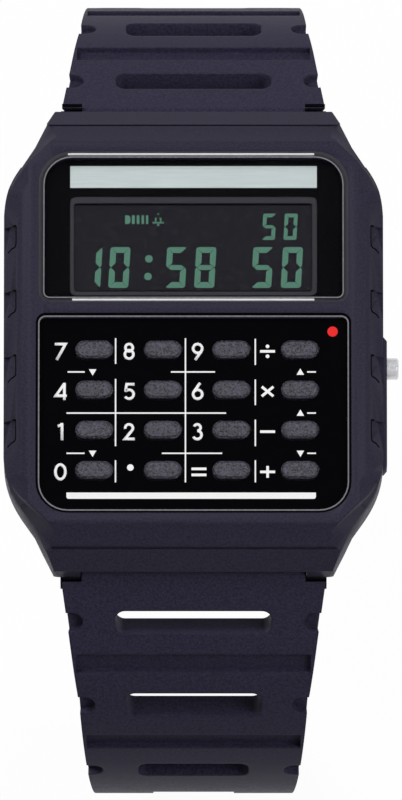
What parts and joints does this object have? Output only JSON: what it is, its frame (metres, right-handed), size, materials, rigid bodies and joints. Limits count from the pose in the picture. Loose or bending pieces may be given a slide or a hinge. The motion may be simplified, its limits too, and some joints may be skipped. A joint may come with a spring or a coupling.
{
  "type": "calculator watch",
  "caption": "Resin wristwatch with a display over a keypad of separate keys, a side pusher and a buckled strap in two halves, shown open.",
  "frame": {"origin": "centre of the case back's outer flat face", "axes": "+X towards 3 o'clock, +Y towards 12 o'clock, +Z out of the face"},
  "size_m": [0.0358, 0.0728, 0.1096],
  "materials": {
    "case_resin": "moulded satin black resin",
    "strap_resin": "moulded matt black resin",
    "fascia": "gloss black",
    "key_plastic": "fine grained dark grey",
    "pane": "clear polished acrylic",
    "silver": "satin silver film",
    "lcd_glass": "dark negative display",
    "lcd_foil": "reflector foil",
    "steel": "brushed stainless",
    "seal_rubber": "soft black rubber",
    "frame_plastic": "natural engineering plastic",
    "board_laminate": "green laminate",
    "chip_epoxy": "black epoxy",
    "contact_brass": "bare brass"
  },
  "bodies": {
    "case": {"back_seal": "seal_rubber", "battery": "steel", "battery_clamp": "steel", "battery_holder": "frame_plastic", "buzzer_spring": "contact_brass", "case_back": "steel", "case_back_screws": "steel", "case_body": "case_resin", "circuit_board": "board_laminate", "display_mask": "fascia", "display_window": "pane", "header_strip": "silver", "insulator_sheet": "frame_plastic", "keypad_circuit": "frame_plastic", "keypad_mat": "seal_rubber", "keypad_plate": "fascia", "lcd_backing": "lcd_foil", "lcd_cell": "lcd_glass", "mode_contact": "contact_brass", "module_frame": "frame_plastic", "piezo_disc": "contact_brass", "processor_chip": "chip_epoxy", "pusher_seal": "seal_rubber", "pusher_spring": "steel", "quartz_can": "steel", "spring_bar_lower": "steel", "spring_bar_upper": "steel", "window_seal": "seal_rubber", "zebra_strip_lower": "seal_rubber", "zebra_strip_upper": "seal_rubber"},
    "pusher": {"mode_pusher": "steel", "pusher_clip": "steel"},
    "upper_strap": {"strap_upper": "strap_resin", "buckle_bar": "steel"},
    "lower_strap": {"strap_lower": "strap_resin"},
    "buckle": {"buckle_frame": "steel"},
    "tang": {"buckle_tang": "steel"},
    "keeper": {"strap_keeper": "strap_resin"},
    "key_7_cap": {"key_7": "key_plastic"},
    "key_8_cap": {"key_8": "key_plastic"},
    "key_9_cap": {"key_9": "key_plastic"},
    "key_divide_cap": {"key_divide": "key_plastic"},
    "key_4_cap": {"key_4": "key_plastic"},
    "key_5_cap": {"key_5": "key_plastic"},
    "key_6_cap": {"key_6": "key_plastic"},
    "key_times_cap": {"key_times": "key_plastic"},
    "key_1_cap": {"key_1": "key_plastic"},
    "key_2_cap": {"key_2": "key_plastic"},
    "key_3_cap": {"key_3": "key_plastic"},
    "key_minus_cap": {"key_minus": "key_plastic"},
    "key_0_cap": {"key_0": "key_plastic"},
    "key_point_cap": {"key_point": "key_plastic"},
    "key_equals_cap": {"key_equals": "key_plastic"},
    "key_plus_cap": {"key_plus": "key_plastic"}
  },
  "joints": [
    {"name": "key_7_press", "type": "slide", "parent": "case", "child": "key_7_cap", "axis": [0, 0, -1], "range_m": [0, 0.0005], "stiffness_N_per_m": 400},
    {"name": "key_8_press", "type": "slide", "parent": "case", "child": "key_8_cap", "axis": [0, 0, -1], "range_m": [0, 0.0005], "stiffness_N_per_m": 400},
    {"name": "key_9_press", "type": "slide", "parent": "case", "child": "key_9_cap", "axis": [0, 0, -1], "range_m": [0, 0.0005], "stiffness_N_per_m": 400},
    {"name": "key_divide_press", "type": "slide", "parent": "case", "child": "key_divide_cap", "axis": [0, 0, -1], "range_m": [0, 0.0005], "stiffness_N_per_m": 400},
    {"name": "key_4_press", "type": "slide", "parent": "case", "child": "key_4_cap", "axis": [0, 0, -1], "range_m": [0, 0.0005], "stiffness_N_per_m": 400},
    {"name": "key_5_press", "type": "slide", "parent": "case", "child": "key_5_cap", "axis": [0, 0, -1], "range_m": [0, 0.0005], "stiffness_N_per_m": 400},
    {"name": "key_6_press", "type": "slide", "parent": "case", "child": "key_6_cap", "axis": [0, 0, -1], "range_m": [0, 0.0005], "stiffness_N_per_m": 400},
    {"name": "key_times_press", "type": "slide", "parent": "case", "child": "key_times_cap", "axis": [0, 0, -1], "range_m": [0, 0.0005], "stiffness_N_per_m": 400},
    {"name": "key_1_press", "type": "slide", "parent": "case", "child": "key_1_cap", "axis": [0, 0, -1], "range_m": [0, 0.0005], "stiffness_N_per_m": 400},
    {"name": "key_2_press", "type": "slide", "parent": "case", "child": "key_2_cap", "axis": [0, 0, -1], "range_m": [0, 0.0005], "stiffness_N_per_m": 400},
    {"name": "key_3_press", "type": "slide", "parent": "case", "child": "key_3_cap", "axis": [0, 0, -1], "range_m": [0, 0.0005], "stiffness_N_per_m": 400},
    {"name": "key_minus_press", "type": "slide", "parent": "case", "child": "key_minus_cap", "axis": [0, 0, -1], "range_m": [0, 0.0005], "stiffness_N_per_m": 400},
    {"name": "key_0_press", "type": "slide", "parent": "case", "child": "key_0_cap", "axis": [0, 0, -1], "range_m": [0, 0.0005], "stiffness_N_per_m": 400},
    {"name": "key_point_press", "type": "slide", "parent": "case", "child": "key_point_cap", "axis": [0, 0, -1], "range_m": [0, 0.0005], "stiffness_N_per_m": 400},
    {"name": "key_equals_press", "type": "slide", "parent": "case", "child": "key_equals_cap", "axis": [0, 0, -1], "range_m": [0, 0.0005], "stiffness_N_per_m": 400},
    {"name": "key_plus_press", "type": "slide", "parent": "case", "child": "key_plus_cap", "axis": [0, 0, -1], "range_m": [0, 0.0005], "stiffness_N_per_m": 400},
    {"name": "pusher_press", "type": "slide", "parent": "case", "child": "pusher", "axis": [-1, 0, 0], "range_m": [0, 0.0006], "stiffness_N_per_m": 500, "deforming": ["pusher_spring"]},
    {"name": "upper_strap_swing", "type": "hinge", "parent": "case", "child": "upper_strap", "pos_m": [0, 0.0196, 0.002], "axis": [-1, 0, 0], "range_deg": [-20, 12], "stiffness_Nm_per_rad": 0.1},
    {"name": "lower_strap_swing", "type": "hinge", "parent": "case", "child": "lower_strap", "pos_m": [0, -0.0196, 0.002], "axis": [1, 0, 0], "range_deg": [-20, 12], "stiffness_Nm_per_rad": 0.1},
    {"name": "buckle_swing", "type": "hinge", "parent": "upper_strap", "child": "buckle", "pos_m": [0, 0.02012, -0.05883], "axis": [1, 0, 0], "range_deg": [-50, 50]},
    {"name": "tang_swing", "type": "hinge", "parent": "buckle", "child": "tang", "pos_m": [0, 0.02012, -0.05883], "axis": [1, 0, 0], "range_deg": [0, 85]},
    {"name": "keeper_slide", "type": "slide", "parent": "upper_strap", "child": "keeper", "axis": [0, -0.4226, -0.9063], "range_m": [-0.005, 0.005]}
  ]
}
